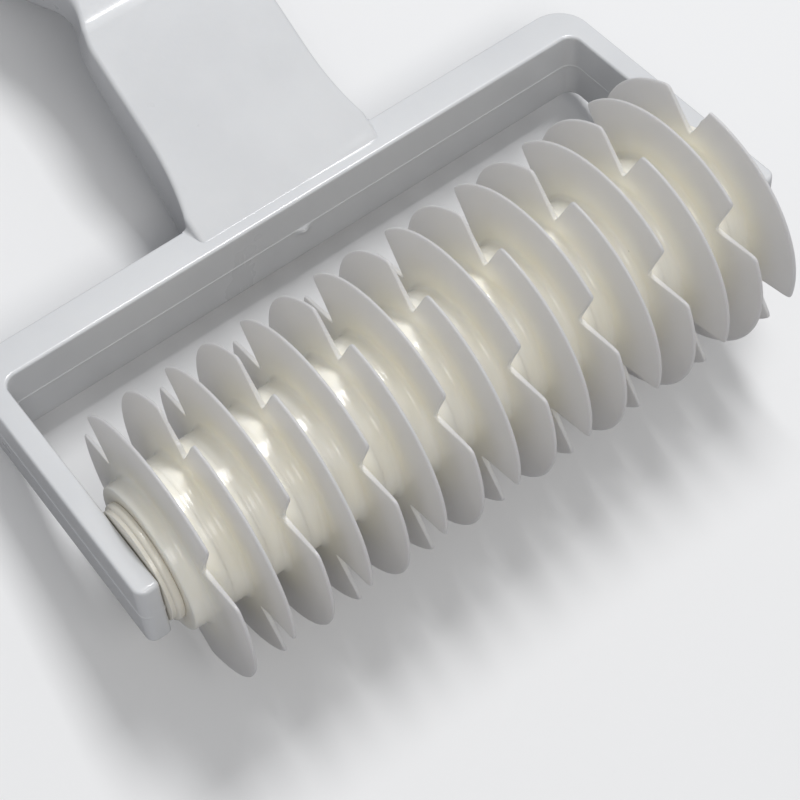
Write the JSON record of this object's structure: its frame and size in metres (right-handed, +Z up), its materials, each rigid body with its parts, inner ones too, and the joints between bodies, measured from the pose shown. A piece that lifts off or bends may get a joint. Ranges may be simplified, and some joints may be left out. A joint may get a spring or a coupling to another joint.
{
  "type": "lattice roller cutter",
  "caption": "Plastic lattice roller cutter: a fork with an arched grip holds a freely turning roller of staggered, notched blade discs that slit rolled dough into a net.",
  "frame": {"origin": "on the table under the middle of the whole tool, which lies on its blades and the tail of its grip", "axes": "+X along the roller, +Y from the roller to the tail of the grip, +Z up off the table; with the grip towards you, +X is to the left"},
  "size_m": [0.12, 0.1938, 0.044],
  "materials": {
    "frame_plastic": "cool white moulded plastic, satin gloss",
    "blade_plastic": "milky cream moulded plastic, slightly translucent",
    "shaft_plastic": "plain cream plastic"
  },
  "bodies": {
    "frame": {"frame_handle": "frame_plastic"},
    "roller": {"blade_disc_01": "blade_plastic", "blade_disc_02": "blade_plastic", "blade_disc_03": "blade_plastic", "blade_disc_04": "blade_plastic", "blade_disc_05": "blade_plastic", "blade_disc_06": "blade_plastic", "blade_disc_07": "blade_plastic", "blade_disc_08": "blade_plastic", "blade_disc_09": "blade_plastic", "blade_disc_10": "blade_plastic", "blade_disc_11": "blade_plastic", "blade_disc_12": "blade_plastic", "blade_disc_13": "blade_plastic", "blade_disc_14": "blade_plastic", "blade_disc_15": "blade_plastic", "blade_disc_16": "blade_plastic", "roller_shaft": "shaft_plastic", "end_collar_left": "blade_plastic", "end_collar_right": "blade_plastic"}
  },
  "joints": [
    {"name": "roller_spin", "type": "hinge", "parent": "frame", "child": "roller", "pos_m": [0, -0.07487, 0.022], "axis": [1, 0, 0], "continuous": true}
  ]
}
